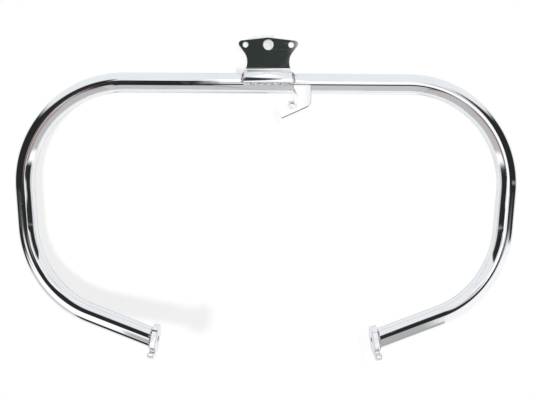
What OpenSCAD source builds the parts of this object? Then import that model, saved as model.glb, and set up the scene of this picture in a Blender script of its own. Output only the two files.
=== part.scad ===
// Motorcycle crash bars: one bent tube with a centre plate, a small tab and two end lugs, all welded.
// +X is to the right as seen from the front, +Y points rearward and +Z is up.
// The origin is the middle of the plate's two bolt holes, on the plate's back face.

/* [Tube] */
// Outside diameter of the tube
tube_d = 31.75; // [25:0.25:40]
// Wall of the tube
tube_wall = 2.5; // [1.5:0.1:4]
// Bend radius at the tube's centre line
bend_r = 158; // [110:1:190]
// Half of the straight length across the top
top_half = 227.5; // [160:0.5:300]
// Angle of each upper bend
upper_bend = 94.7; // [85:0.1:100]
// Straight length down each side
side_length = 60; // [20:1:120]
// Angle of each lower bend
lower_bend = 66.7; // [50:0.1:80]
// Angle by which each lower bend is turned towards the front
arm_sweep = 17; // [0:0.5:30]
// Straight length of each arm, up to its lug
arm_length = 111; // [60:1:160]
// Thinning of the wall in the bends, inside and outside
bend_thinning = 0.03; // [0.02:0.01:0.1]

/* [Centre plate] */
// Thickness of the plate
plate_t = 4.8; // [3:0.1:8]
// Sideways place of the tube's middle from the plate's middle
tube_shift = -2.5; // [-10:0.5:10]
// Height of the bolt holes above the tube's centre line
plate_rise = 62.2; // [50:0.1:90]
// Distance between the two bolt holes
bolt_spacing = 73; // [60:0.5:78]
// Diameter of the bolt holes
bolt_hole_d = 8.4; // [6:0.1:11]
// Diameter of the middle hole
middle_hole_d = 16; // [8:0.5:24]
// Height of the plate's peak above the holes
peak_rise = 12.2; // [10:0.1:20]
// Rounding of the peak
peak_round = 20; // [4:1:24]
// Half of the width to the ears' sharp corners
ear_half = 52.7; // [50:0.1:60]
// Height of the ears' sharp corners above the holes
ear_rise = 6.2; // [4:0.1:9]
// Rounding of the ears
ear_round = 6; // [4:0.5:8]
// Half of the width at the sharp corner of the waist
waist_half = 32; // [26:0.5:38]
// Depth of the waist's sharp corner below the holes
waist_drop = 21.8; // [18:0.1:28]
// Rounding of the waist
waist_round = 26; // [10:1:30]
// Half of the width of the rolled lower edge
saddle_half = 40.5; // [36:0.5:48]
// Front radius of the bend between the flat and the rolled edge
plate_bend_r = 4; // [2:0.5:8]

/* [Tab] */
// Thickness of the tab
tab_t = 5; // [3:0.5:7]
// Forward lean of the tab
tab_lean = 15; // [5:1:25]
// Distance of the tab's right side beyond the end of the plate's rolled edge
tab_reach = 28.1; // [24:0.1:40]
// Drop of the tab's top edge below the tube's centre line
tab_drop = 4.8; // [4.4:0.1:8]
// Width of the tab's top edge
tab_top_w = 29.5; // [22:0.5:40]
// Length of the tab's right side, to its sharp lower corner
tab_right_length = 33; // [30:0.5:44]
// Length of the tab's left side, down to its inner corner
tab_left_length = 22; // [16:0.5:26]
// Slope of the tab's foot
tab_slope = 25.2; // [18:0.1:30]
// Length of the foot's lower edge, from the sharp corner to its end
foot_length = 51.6; // [46:0.1:60]
// Width of the foot's end
foot_w = 22.6; // [20:0.1:26]
// Rounding of the tab's corners
tab_round = 2; // [1:0.5:4]
// Rounding of the tab's inner corner
tab_inner_round = 5; // [2:0.5:8]
// Rounding of the tab's lower right corner
tab_heel_round = 12.5; // [6:0.5:16]
// Distance of the insert from the foot's end
insert_along = 24.4; // [18:0.1:30]
// Distance of the insert from the foot's lower edge
insert_up = 13.5; // [11:0.1:16]
// Diameter of the insert's threaded hole
insert_hole_d = 7.8; // [5:0.1:8.5]
// Diameter of the insert's barrel
insert_barrel_d = 11; // [10:0.1:12.5]
// Length of the insert's barrel behind the tab
insert_barrel_length = 4; // [2:0.5:8]
// Diameter of the insert's flange
insert_flange_d = 15.6; // [14:0.1:18]
// Thickness of the insert's flange
insert_flange_t = 1.6; // [1:0.1:3]

/* [End lugs] */
// Thickness of each lug
lug_t = 9.5; // [6:0.5:14]
// Depth of each lug from front to back
lug_depth = 36; // [34:0.5:44]
// Height of each lug above its bolt hole
lug_top = 21.5; // [19:0.5:28]
// Length of each lug below its bolt hole
lug_bottom = 33.5; // [30:0.5:44]
// Diameter of the lug's threaded hole
lug_hole_d = 10; // [8:0.1:12.5]
// Lean of each lug, its top towards the middle
lug_lean = 8.5; // [0:0.5:15]
// Turn of each lug's face towards the front
lug_toe = 7.5; // [0:0.5:15]
// Turn of each lug on its own face, its foot forward
lug_turn = 8; // [0:1:15]
// Rounding of the lug's rear shoulder
lug_back_round = 17.3; // [6:0.1:18]
// Rounding of the lug's front shoulder
lug_front_round = 13; // [6:0.1:14]
// Depth below the bolt hole at which the lug's rear edge turns in
lug_hip_drop = 14; // [8:0.5:18]
// Rounding of that turn
lug_hip_round = 12; // [4:0.5:14]
// Distance of the lug's heel in front of the bolt hole
lug_heel_x = 4.3; // [0:0.1:8]
// Rounding of the lug's heel
lug_heel_round = 5; // [2:0.5:8]
// Rounding of the lug's front lower corner
lug_tip_round = 4; // [1:0.5:5]
// Width of the open notch in the lug's front edge
notch_w = 8; // [5:0.5:9]
// Depth of the notch
notch_depth = 11; // [6:0.5:12]
// Distance of the notch below the bolt hole
notch_drop = 21.5; // [20:0.5:25]

/* [Welds] */
// Clearance left between welded pieces
seam_gap = 0.05; // [0.02:0.01:0.1]
// Radius of the beads round the plate's rolled edge
saddle_bead_r = 4; // [2.5:0.1:4.3]
// Angle through which the end beads climb the tube, from its foremost line
end_bead_climb = 78; // [50:1:85]
// Radius of the bead behind the plate
rear_bead_r = 3.4; // [2.5:0.1:4]
// Height of that bead's middle above the tube
rear_bead_lift = 0.9; // [0.5:0.1:1.2]
// Radius of the tab's beads
tab_bead_r = 2.8; // [1.8:0.1:3.2]
// Distance between the plate's edge and the bead along the tab's top
tab_bead_start = 6; // [4.5:0.5:8]
// Depth to which the tab's side bead sinks behind the tab on its way down
tab_bead_sink = 1.1; // [0:0.1:2]
// Radius of the beads round the tube at the lugs
lug_bead_r = 2.4; // [1.5:0.1:3]
// Length of one ripple of a bead
ripple_pitch = 3; // [2:0.1:6]
// Height of the ripples, as a share of the bead's radius
ripple_height = 0.12; // [0:0.01:0.25]

/* [Hidden] */
$fn = 96;
bead_sides = 8;
rings_per_ripple = 3;
// Size of a bead's first and second ring, as shares of its radius
bead_tip = 0.55;
bead_shoulder = 0.9;
tube_r = tube_d / 2;
saddle_in_r = tube_r + seam_gap;
saddle_out_r = saddle_in_r + plate_t;
// The tube's middle, found from the plate's back face at Y 0 and its holes at Z 0
tube_y = -plate_t - plate_bend_r;
tube_mid = [tube_shift, tube_y, -plate_rise];
// The tube's centre line in the middle of the plate
seat_mid = [0, tube_y, -plate_rise];
flat_start_z = saddle_out_r + plate_bend_r;
// Length by which each straight runs over the ends of the bends
straight_lap = 0.6;
// Room past a cut, so that no cut ends on a face
over = 10;
far = 400;

// Stations along the right half of the tube, each a matrix whose Z runs along the tube
function move_on(l) = [[1, 0, 0, 0], [0, 1, 0, 0], [0, 0, 1, l], [0, 0, 0, 1]];
function bend_on(a) = [
    [cos(a), 0, sin(a), bend_r * (1 - cos(a))],
    [0, 1, 0, 0],
    [-sin(a), 0, cos(a), bend_r * sin(a)],
    [0, 0, 0, 1]
];
function roll_on(a) = [[cos(a), -sin(a), 0, 0], [sin(a), cos(a), 0, 0], [0, 0, 1, 0], [0, 0, 0, 1]];
function origin_of(m) = [m[0][3], m[1][3], m[2][3]];
function axis_of(m, k) = [m[0][k], m[1][k], m[2][k]];
top_mid = [[0, 0, 1, 0], [0, 1, 0, 0], [-1, 0, 0, 0], [0, 0, 0, 1]];
top_end = top_mid * move_on(top_half);
side_start = top_end * bend_on(upper_bend);
side_end = side_start * move_on(side_length) * roll_on(-arm_sweep);
arm_start = side_end * bend_on(lower_bend);
arm_end = arm_start * move_on(arm_length);

// The lug's frame: X to the front, Y up and Z towards the middle of the arch, out of the lug's free face
function turn_y(a) = [[cos(a), 0, sin(a), 0], [0, 1, 0, 0], [-sin(a), 0, cos(a), 0], [0, 0, 0, 1]];
function turn_x(a) = [[1, 0, 0, 0], [0, cos(a), -sin(a), 0], [0, sin(a), cos(a), 0], [0, 0, 0, 1]];
function place_at(p) = [[1, 0, 0, p[0]], [0, 1, 0, p[1]], [0, 0, 1, p[2]], [0, 0, 0, 1]];
lug_axes = [[0, 0, -1, 0], [-1, 0, 0, 0], [0, 1, 0, 0], [0, 0, 0, 1]];
lug_place = place_at(origin_of(arm_end)) * turn_y(-lug_lean) * roll_on(lug_toe) * lug_axes;
lug_normal = axis_of(lug_place, 2);

// A flat outline with true arcs: each corner is [x, y, radius], listed anticlockwise
function unit(v) = v / norm(v);
function flat(p) = [p[0], p[1]];
function corner_turn(a, b, c) = let(u = unit(b - a), v = unit(c - b)) atan2(u[0] * v[1] - u[1] * v[0], u * v);
function corner_reach(a, b, c, r) = r * tan(abs(corner_turn(a, b, c)) / 2);
function corner_centre(a, b, c, r) =
    let(turn = corner_turn(a, b, c), u = unit(b - a), side = turn > 0 ? 1 : -1)
    b - u * corner_reach(a, b, c, r) + [-u[1], u[0]] * side * r;
module rounded_outline(corners) {
    n = len(corners);
    before = [for (i = [0:n - 1]) flat(corners[(i + n - 1) % n])];
    here = [for (i = [0:n - 1]) flat(corners[i])];
    after = [for (i = [0:n - 1]) flat(corners[(i + 1) % n])];
    turns = [for (i = [0:n - 1]) corner_turn(before[i], here[i], after[i])];
    reach = [for (i = [0:n - 1]) corner_reach(before[i], here[i], after[i], corners[i][2])];
    difference() {
        union() {
            polygon([
                for (i = [0:n - 1]) each [
                    here[i] - unit(here[i] - before[i]) * reach[i],
                    here[i] + unit(after[i] - here[i]) * reach[i]
                ]
            ]);
            for (i = [0:n - 1])
                if (turns[i] > 0 && corners[i][2] > 0)
                    translate(corner_centre(before[i], here[i], after[i], corners[i][2])) circle(r = corners[i][2]);
        }
        for (i = [0:n - 1])
            if (turns[i] < 0)
                translate(corner_centre(before[i], here[i], after[i], corners[i][2])) circle(r = corners[i][2]);
    }
}

// Cross-section of the tube, with its wall thinned on both sides by an amount
module ring_section(thinning = 0) {
    difference() {
        circle(r = tube_r - thinning);
        circle(r = tube_r - tube_wall + thinning);
    }
}

// A bend that starts at the origin along +Z and turns towards +X
module tube_bend(angle) {
    translate([bend_r, 0, 0])
        rotate([90, 0, 180])
            rotate_extrude(angle = angle) translate([bend_r, 0]) ring_section(bend_thinning);
}

// The bends, the side and the arm to the right of the straight top
module side_and_arm() {
    multmatrix(top_end) tube_bend(upper_bend);
    multmatrix(side_start)
        translate([0, 0, -straight_lap]) linear_extrude(side_length + 2 * straight_lap) ring_section();
    multmatrix(side_end) tube_bend(lower_bend);
    difference() {
        multmatrix(arm_start)
            translate([0, 0, -straight_lap]) linear_extrude(arm_length + straight_lap + tube_r) ring_section();
        multmatrix(lug_place) translate([-tube_d, -tube_d, 0]) cube(2 * tube_d);
    }
}

module main_tube() {
    color("gainsboro")
        translate(tube_mid) {
            rotate([0, 90, 0])
                linear_extrude(2 * (top_half + straight_lap), center = true) ring_section();
            side_and_arm();
            mirror([1, 0, 0]) side_and_arm();
        }
}

// Side profile of the plate about the tube's centre: X is rearward and Y is up
module plate_profile() {
    // Rolled edge, from the tube's foremost line up
    intersection() {
        difference() {
            circle(r = saddle_out_r);
            circle(r = saddle_in_r);
        }
        translate([-far, 0]) square(far);
    }
    // Bend back up into the flat
    translate([0, flat_start_z])
        intersection() {
            difference() {
                circle(r = plate_bend_r + plate_t);
                circle(r = plate_bend_r);
            }
            translate([0, -far]) square(far);
        }
    // Flat
    translate([plate_bend_r, flat_start_z])
        square([plate_t, plate_rise + peak_rise - flat_start_z + over]);
}

module plate_outline() {
    rounded_outline([
        [0, peak_rise, peak_round],
        [-ear_half, ear_rise, ear_round],
        [-waist_half, -waist_drop, waist_round],
        [-saddle_half, -plate_rise, 0],
        [-saddle_half, -plate_rise - over, 0],
        [saddle_half, -plate_rise - over, 0],
        [saddle_half, -plate_rise, 0],
        [waist_half, -waist_drop, waist_round],
        [ear_half, ear_rise, ear_round]
    ]);
}

module centre_plate() {
    color("silver")
        difference() {
            intersection() {
                translate([-far / 2, tube_y, -plate_rise])
                    rotate([90, 0, 90]) linear_extrude(far) plate_profile();
                translate([0, far / 2, 0]) rotate([90, 0, 0]) linear_extrude(far) plate_outline();
            }
            for (x = [-bolt_spacing / 2, bolt_spacing / 2])
                translate([x, over, 0]) rotate([90, 0, 0]) cylinder(d = bolt_hole_d, h = plate_t + 2 * over);
            translate([0, over, 0]) rotate([90, 0, 0]) cylinder(d = middle_hole_d, h = plate_t + 2 * over);
        }
}

// The tab's frame: X to the right, Y up its face and Z to the front, from its top edge on the tube
tab_back_y = -sqrt(pow(tube_r + seam_gap, 2) - pow(tab_drop, 2));
tab_place = place_at([0, tube_y + tab_back_y, -plate_rise - tab_drop]) * turn_x(90 - tab_lean);
foot_dir = [-cos(tab_slope), -sin(tab_slope)];
foot_side = [-foot_dir[1], foot_dir[0]];
tab_right_x = saddle_half + tab_reach;
tab_top_right = [tab_right_x, 0];
tab_heel = tab_top_right - [0, tab_right_length];
tab_toe = tab_heel + foot_dir * foot_length;
tab_toe_top = tab_toe - foot_side * foot_w;
tab_top_left = tab_top_right - [tab_top_w, 0];
tab_crook = tab_top_left + foot_side * tab_left_length;
insert_at = tab_toe - foot_dir * insert_along - foot_side * insert_up;

module tab_blank() {
    linear_extrude(tab_t)
        rounded_outline([
            [tab_top_right[0], tab_top_right[1], tab_round],
            [tab_top_left[0], tab_top_left[1], tab_round],
            [tab_crook[0], tab_crook[1], tab_inner_round],
            [tab_toe_top[0], tab_toe_top[1], tab_round],
            [tab_toe[0], tab_toe[1], tab_round],
            [tab_heel[0], tab_heel[1], tab_heel_round]
        ]);
}

module tab_bracket() {
    color("white")
        multmatrix(tab_place)
            difference() {
                tab_blank();
                translate([insert_at[0], insert_at[1], -over])
                    cylinder(d = insert_barrel_d + 2 * seam_gap, h = tab_t + 2 * over);
            }
}

module tab_insert() {
    color("lightgray")
        multmatrix(tab_place) translate(insert_at)
            difference() {
                union() {
                    translate([0, 0, tab_t]) cylinder(d = insert_flange_d, h = insert_flange_t);
                    translate([0, 0, -insert_barrel_length])
                        cylinder(d = insert_barrel_d, h = insert_barrel_length + tab_t + insert_flange_t / 2);
                }
                translate([0, 0, -far / 2]) cylinder(d = insert_hole_d, h = far);
            }
}

// Outline of a lug about its threaded hole: X to the front and Y up
module lug_outline() {
    difference() {
        rounded_outline([
            [-lug_depth / 2, lug_top, lug_back_round],
            [-lug_depth / 2, -lug_hip_drop, lug_hip_round],
            [lug_heel_x, -lug_bottom, lug_heel_round],
            [lug_depth / 2, -lug_bottom, lug_tip_round],
            [lug_depth / 2, lug_top, lug_front_round]
        ]);
        translate([lug_depth / 2 - notch_depth + notch_w / 2, -notch_drop]) {
            circle(d = notch_w);
            translate([0, -notch_w / 2]) square([notch_depth, notch_w]);
        }
    }
}

module lug() {
    multmatrix(lug_place)
        difference() {
            linear_extrude(lug_t) rotate(lug_turn) lug_outline();
            translate([0, 0, -over]) cylinder(d = lug_hole_d, h = lug_t + 2 * over);
        }
}

module right_end_lug() {
    color("whitesmoke") translate(tube_mid) lug();
}

module left_end_lug() {
    color("whitesmoke") translate(tube_mid) mirror([1, 0, 0]) lug();
}

// A rippled bead along a path of points. Each ring of the skin lies across the path.
function bead_ring(at, along, out, r) =
    let(u = unit(out - (out * along) * along), v = cross(along, u))
    [for (k = [0:bead_sides - 1]) at + r * (cos(360 * k / bead_sides) * u + sin(360 * k / bead_sides) * v)];
function ripple(i) = 1 + ripple_height * cos(360 * i / rings_per_ripple);
function end_taper(i, n) = let(near = min(i, n - 1 - i)) near == 0 ? bead_tip : near == 1 ? bead_shoulder : 1;
module bead(path, outs, r, closed = false) {
    n = len(path);
    s = bead_sides;
    rings = [
        for (i = [0:n - 1])
            let(
                last = closed ? path[(i + n - 1) % n] : path[max(i - 1, 0)],
                next = closed ? path[(i + 1) % n] : path[min(i + 1, n - 1)],
                size = closed ? r * ripple(i) : r * ripple(i) * end_taper(i, n)
            )
            bead_ring(path[i], unit(next - last), outs[i], size)
    ];
    skin = [
        for (i = [0:(closed ? n - 1 : n - 2)])
            for (k = [0:s - 1])
                let(j = (i + 1) % n, l = (k + 1) % s)
                [i * s + k, j * s + k, j * s + l, i * s + l]
    ];
    caps = closed ? [] : [[for (k = [0:s - 1]) k], [for (k = [s - 1:-1:0]) (n - 1) * s + k]];
    polyhedron(points = [for (ring = rings) each ring], faces = concat(skin, caps));
}
function rings_for(length) = rings_per_ripple * max(2, round(length / ripple_pitch)) + 1;

// The tube as a solid bar, to cut beads by. It is drawn about the tube's middle.
module top_bar() {
    rotate([0, 90, 0]) cylinder(r = tube_r + seam_gap, h = far, center = true);
}

// Half width of the plate at a height above the tube's centre line, along the straight flare below its waist
function flare_at(z) = saddle_half + (waist_half - saddle_half) * z / (plate_rise - waist_drop);

module saddle_front_weld() {
    n = rings_for(2 * saddle_half + 2 * saddle_bead_r);
    half = saddle_half + saddle_bead_r;
    color("lightgray")
        translate(seat_mid)
            difference() {
                bead(
                    [for (i = [0:n - 1]) [-half + 2 * half * i / (n - 1), -saddle_in_r, 0]],
                    [for (i = [0:n - 1]) [0, -1, 0]], saddle_bead_r
                );
                top_bar();
                translate([-far / 2, -far / 2, -seam_gap]) cube(far);
                for (side = [0, 1])
                    mirror([side, 0, 0]) translate([saddle_half, -far / 2, -far / 2]) cube(far);
            }
}

module saddle_end_weld() {
    n = rings_for(saddle_in_r * end_bead_climb * PI / 180);
    turns = [for (i = [0:n - 1]) end_bead_climb * i / (n - 1)];
    translate(seat_mid)
        difference() {
            bead(
                [for (a = turns) [flare_at(saddle_in_r * sin(a)), -saddle_in_r * cos(a), saddle_in_r * sin(a)]],
                [for (a = turns) [0, -cos(a), sin(a)]], saddle_bead_r
            );
            top_bar();
            translate([0, far / 2, 0])
                rotate([90, 0, 0])
                    linear_extrude(far)
                        polygon([
                            [-far, -far], [saddle_half + seam_gap, -far], [saddle_half + seam_gap, 0],
                            [flare_at(saddle_out_r * 2) + seam_gap, saddle_out_r * 2], [-far, saddle_out_r * 2]
                        ]);
        }
}

module saddle_right_weld() {
    color("lightgray") saddle_end_weld();
}

module saddle_left_weld() {
    color("lightgray") mirror([1, 0, 0]) saddle_end_weld();
}

module saddle_rear_weld() {
    rear_y = plate_bend_r + rear_bead_r;
    rear_z = tube_r + rear_bead_lift;
    half = flare_at(rear_z) - rear_bead_r;
    n = rings_for(2 * half);
    color("lightgray")
        translate(seat_mid)
            difference() {
                bead(
                    [for (i = [0:n - 1]) [-half + 2 * half * i / (n - 1), rear_y, rear_z]],
                    [for (i = [0:n - 1]) [0, 0, 1]], rear_bead_r
                );
                top_bar();
                translate([-far / 2, seam_gap, -seam_gap])
                    rotate([90, 0, 90]) linear_extrude(far) plate_profile();
            }
}

// The tab with a clearance all round, to cut beads by
module tab_cutter() {
    multmatrix(tab_place) translate([0, seam_gap, -seam_gap]) tab_blank();
    multmatrix(tab_place) translate([-seam_gap, 0, 0]) tab_blank();
}

module tab_top_weld() {
    left = saddle_half + tab_bead_start;
    right = tab_right_x - tab_round;
    n = rings_for(right - left);
    color("lightgray")
        difference() {
            bead(
                [
                    for (i = [0:n - 1])
                        [left + (right - left) * i / (n - 1), tube_y + tab_back_y, -plate_rise - tab_drop]
                ],
                [for (i = [0:n - 1]) [0, -1, 0]], tab_bead_r
            );
            translate(tube_mid) top_bar();
            tab_cutter();
            multmatrix(tab_place) translate([-far / 2, -far, -far]) cube(far);
        }
}

module tab_side_weld() {
    length = tube_r - tab_drop;
    n = rings_for(length);
    color("lightgray")
        difference() {
            multmatrix(tab_place)
                bead(
                    [
                        for (i = [0:n - 1])
                            let(p = tab_top_left + foot_side * (tab_round + length * i / (n - 1)))
                            [p[0] - seam_gap, p[1], -tab_bead_sink * i / (n - 1)]
                    ],
                    [for (i = [0:n - 1]) [-1, 0, 0]], tab_bead_r
                );
            translate(tube_mid) top_bar();
            tab_cutter();
        }
}

// The seam runs where the lug's back face cuts the tube's skin
function seam_point(a) =
    let(
        p = tube_r * (cos(a) * axis_of(arm_end, 0) + sin(a) * axis_of(arm_end, 1)),
        slide = -(p * lug_normal) / (axis_of(arm_end, 2) * lug_normal)
    )
    origin_of(arm_end) + p + slide * axis_of(arm_end, 2);
module lug_weld() {
    n = rings_for(PI * tube_d) - 1;
    turns = [for (i = [0:n - 1]) 360 * i / n];
    difference() {
        bead(
            [for (a = turns) seam_point(a)],
            [for (a = turns) seam_point(a) - origin_of(arm_end)], lug_bead_r, true
        );
        multmatrix(arm_end) cylinder(r = tube_r + seam_gap, h = far, center = true);
        multmatrix(lug_place) translate([-far / 2, -far / 2, -seam_gap]) cube(far);
    }
}

module right_lug_weld() {
    color("lightgray") translate(tube_mid) lug_weld();
}

module left_lug_weld() {
    color("lightgray") translate(tube_mid) mirror([1, 0, 0]) lug_weld();
}

main_tube();
centre_plate();
saddle_front_weld();
saddle_left_weld();
saddle_right_weld();
saddle_rear_weld();
tab_bracket();
tab_insert();
tab_top_weld();
tab_side_weld();
left_end_lug();
right_end_lug();
left_lug_weld();
right_lug_weld();
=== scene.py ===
"""Motorcycle crash bars: the looks of a bent, welded and chromed tube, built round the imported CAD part.

Everything is in metres and in the part's own frame: +X to the right as seen from the front of the motorcycle,
+Y rearward and +Z up, from the middle of the centre plate's two bolt holes on the plate's back face.
"""

import logging
import math
from dataclasses import dataclass, field
from enum import Enum
from typing import Any, Optional, Sequence

import bmesh
import bpy
from mathutils import Matrix, Vector


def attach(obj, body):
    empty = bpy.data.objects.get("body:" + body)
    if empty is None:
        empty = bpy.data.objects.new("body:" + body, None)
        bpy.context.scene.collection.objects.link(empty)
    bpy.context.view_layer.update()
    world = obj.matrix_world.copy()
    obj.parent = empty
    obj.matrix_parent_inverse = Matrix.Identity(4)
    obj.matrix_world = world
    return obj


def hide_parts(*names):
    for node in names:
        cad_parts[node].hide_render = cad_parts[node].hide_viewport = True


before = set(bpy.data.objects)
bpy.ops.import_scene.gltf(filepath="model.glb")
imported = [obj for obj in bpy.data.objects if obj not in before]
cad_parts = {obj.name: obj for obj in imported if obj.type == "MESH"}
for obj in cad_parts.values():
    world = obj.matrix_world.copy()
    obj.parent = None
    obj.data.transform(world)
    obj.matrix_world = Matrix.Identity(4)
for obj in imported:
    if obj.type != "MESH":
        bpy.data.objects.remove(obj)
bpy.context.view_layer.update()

log = logging.getLogger("crash_bars")

MM = 0.001

Colour = tuple[float, float, float]
Place = tuple[float, float, float]
Socket = bpy.types.NodeSocket


class Body(Enum):
    """The CAD bodies that a piece can ride on."""

    ROOT = "root"


class Slot(Enum):
    """The record's material slots."""

    TUBE = "tube_chrome"
    PLATE = "plate_chrome"
    WELD = "weld_chrome"
    TAB = "tab_chrome"
    INSERT = "insert_steel"
    LUG = "lug_chrome"


class Side(Enum):
    """The two halves of the symmetrical arch, as signs of X."""

    RIGHT = 1
    LEFT = -1


def rgba(colour: Colour) -> tuple[float, float, float, float]:
    """Return a colour with full alpha."""
    return (*colour, 1.0)


def grey(level: float) -> Colour:
    """Return a grey of a level."""
    return (level, level, level)


class Graph:
    """A node tree with short calls for adding and joining nodes."""

    def __init__(self, tree: bpy.types.NodeTree) -> None:
        """Keep the tree.

        Args:
            tree: The node tree that the calls add to.
        """
        self.tree = tree

    def feed(self, socket: Socket, value: Any) -> None:
        """Link a socket to another node's output, or set its value.

        Args:
            socket: The input socket.
            value: An output socket, or a plain value.
        """
        if isinstance(value, bpy.types.NodeSocket):
            self.tree.links.new(value, socket)
        else:
            socket.default_value = value

    def node(self, kind: str, feeds: Optional[dict[Any, Any]] = None, **settings: Any) -> bpy.types.Node:
        """Add a node and feed its inputs.

        Args:
            kind: Blender's name of the node type.
            feeds: A socket or a value for each input, by the input's name or number.
            **settings: Properties to set on the new node first.

        Returns:
            The new node.
        """
        made = self.tree.nodes.new(kind)
        for name, value in settings.items():
            setattr(made, name, value)
        for key, value in (feeds or {}).items():
            self.feed(made.inputs[key], value)
        return made

    def out(
        self, kind: str, feeds: Optional[dict[Any, Any]] = None, output: Any = 0, **settings: Any
    ) -> Socket:
        """Add a node, feed its inputs and return one of its outputs, by name or number."""
        return self.node(kind, feeds, **settings).outputs[output]

    def math(self, operation: str, *values: Any, clamp: bool = False) -> Socket:
        """Add a Math node.

        Args:
            operation: Blender's name of the operation.
            *values: Its inputs, each a socket or a number.
            clamp: Whether the result is held between 0 and 1.

        Returns:
            The node's output.
        """
        return self.out("ShaderNodeMath", dict(enumerate(values)), operation=operation, use_clamp=clamp)

    def vector(self, operation: str, *values: Any, output: str = "Vector") -> Socket:
        """Add a Vector Math node.

        Args:
            operation: Blender's name of the operation.
            *values: Its inputs, each a socket or a vector.
            output: Vector, or Value where the result is a number.

        Returns:
            The node's output.
        """
        return self.out("ShaderNodeVectorMath", dict(enumerate(values)), output, operation=operation)

    def ramp(self, value: Any, start: float, end: float, low: float = 0.0, high: float = 1.0) -> Socket:
        """Add a smooth step from one value to another.

        Args:
            value: The socket that is mapped.
            start: Where the step starts.
            end: Where the step ends.
            low: The result before the step.
            high: The result after the step.

        Returns:
            The mapped value.
        """
        feeds = dict(enumerate((value, start, end, low, high)))
        return self.out("ShaderNodeMapRange", feeds, interpolation_type="SMOOTHSTEP")

    def mix(self, factor: Any, first: Any, second: Any) -> Socket:
        """Mix two colours.

        Args:
            factor: The share of the second colour.
            first: The first colour or socket.
            second: The second colour or socket.

        Returns:
            The mixed colour.
        """
        # The node's inputs 6 and 7 and its output 2 are those of colours
        return self.out("ShaderNodeMix", {"Factor": factor, 6: first, 7: second}, 2, data_type="RGBA")

    def blend(self, factor: Any, first: Socket, second: Socket) -> Socket:
        """Mix two shaders by a factor and return the mixed shader."""
        return self.out("ShaderNodeMixShader", {0: factor, 1: first, 2: second})

    def within(self, value: Socket, low: float, high: Any, soft: float) -> Socket:
        """Return a mask that is 1 between two limits and falls off smoothly over a width."""
        rising = self.ramp(value, low - soft, low + soft)
        over = self.math("SUBTRACT", value, high)
        falling = self.ramp(over, -soft, soft, 1.0, 0.0)
        return self.math("MULTIPLY", rising, falling)

    def place(self) -> Socket:
        """Return where the shaded point is, in its object's coordinates."""
        return self.out("ShaderNodeTexCoord", output="Object")

    def axes(self, vector: Socket) -> Any:
        """Return the X, Y and Z of a vector."""
        return self.node("ShaderNodeSeparateXYZ", {0: vector}).outputs

    def surface(self, shader: Socket) -> None:
        """End a material with its surface."""
        self.node("ShaderNodeOutputMaterial", {"Surface": shader})


def new_material(name: str) -> tuple[bpy.types.Material, Graph]:
    """Make a material that has no nodes yet.

    Args:
        name: Name of the material.

    Returns:
        The material and its graph.
    """
    made = bpy.data.materials.new(name)
    made.use_nodes = True
    made.node_tree.nodes.clear()
    return made, Graph(made.node_tree)


MARK_SIZES = ("Haze Size", "Wave Size", "Wave Height", "Peel Size", "Peel Height", "Scratch Size")
HAZE_LIMITS = (0.38, 0.72)
SCRATCH_LIMITS = (0.58, 0.66)
SCRATCHED_PATCHES = (0.42, 0.62)
SCRATCH_TURN = (0.3, 0.5, 0.4)
SCRATCH_STRETCH = (0.12, 1.0, 2.6)
# How much haze roughens a surface, where a scratch counts as 1
HAZE_ROUGHENS = 0.6


def make_polish_group() -> bpy.types.NodeTree:
    """Make the group of marks that every plated surface has: haze, wipe marks, fine scratches and waviness.

    Returns:
        The group. Haze and Marks are masks from 0 to 1, and Height is for a Bump node, in metres.
    """
    tree = bpy.data.node_groups.new("plating_marks", "ShaderNodeTree")
    tree.interface.new_socket("Vector", in_out="INPUT", socket_type="NodeSocketVector")
    for label in MARK_SIZES:
        tree.interface.new_socket(label, in_out="INPUT", socket_type="NodeSocketFloat")
    for label in ("Haze", "Marks", "Height"):
        tree.interface.new_socket(label, in_out="OUTPUT", socket_type="NodeSocketFloat")
    graph = Graph(tree)
    given = graph.node("NodeGroupInput").outputs

    def noise(size: str, detail: float, vector: Any = None, distortion: float = 0.0) -> Socket:
        """Return noise whose features have the size of the named input."""
        feeds = {
            "Vector": vector or given["Vector"], "Scale": graph.math("DIVIDE", 1.0, given[size]),
            "Detail": detail, "Distortion": distortion,
        }
        return graph.out("ShaderNodeTexNoise", feeds, "Fac")

    stretch = {"Vector": given["Vector"], "Rotation": SCRATCH_TURN, "Scale": SCRATCH_STRETCH}
    streaks = noise("Scratch Size", 6.0, vector=graph.out("ShaderNodeMapping", stretch), distortion=0.15)
    patches = graph.ramp(noise("Haze Size", 2.0), *SCRATCHED_PATCHES)
    wave = graph.math("MULTIPLY", noise("Wave Size", 1.0), given["Wave Height"])
    peel = graph.math("MULTIPLY", noise("Peel Size", 2.0), given["Peel Height"])
    results = {
        "Haze": graph.ramp(noise("Haze Size", 4.0, distortion=0.6), *HAZE_LIMITS),
        "Marks": graph.math("MULTIPLY", graph.ramp(streaks, *SCRATCH_LIMITS), patches),
        "Height": graph.math("ADD", wave, peel),
    }
    graph.node("NodeGroupOutput", results)
    return tree


@dataclass(frozen=True)
class PaintedShadeZone:
    """A zone whose colour is darkened as painted shade: past a plane, or inside a radius about an axis."""

    point: Vector
    axis: Vector
    colour: Colour
    radius: Optional[float] = None

    def mask(self, graph: Graph, place: Socket) -> Socket:
        """Return 1 in the zone and 0 outside it.

        Args:
            graph: The material's nodes.
            place: Where the shaded point is.

        Returns:
            The mask.
        """
        away = graph.vector("SUBTRACT", place, self.point)
        if self.radius is None:
            past = graph.vector("DOT_PRODUCT", away, self.axis, output="Value")
            return graph.math("GREATER_THAN", past, 0.0)
        across = graph.vector("CROSS_PRODUCT", away, self.axis)
        return graph.math("LESS_THAN", graph.vector("LENGTH", across, output="Value"), self.radius)


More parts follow.
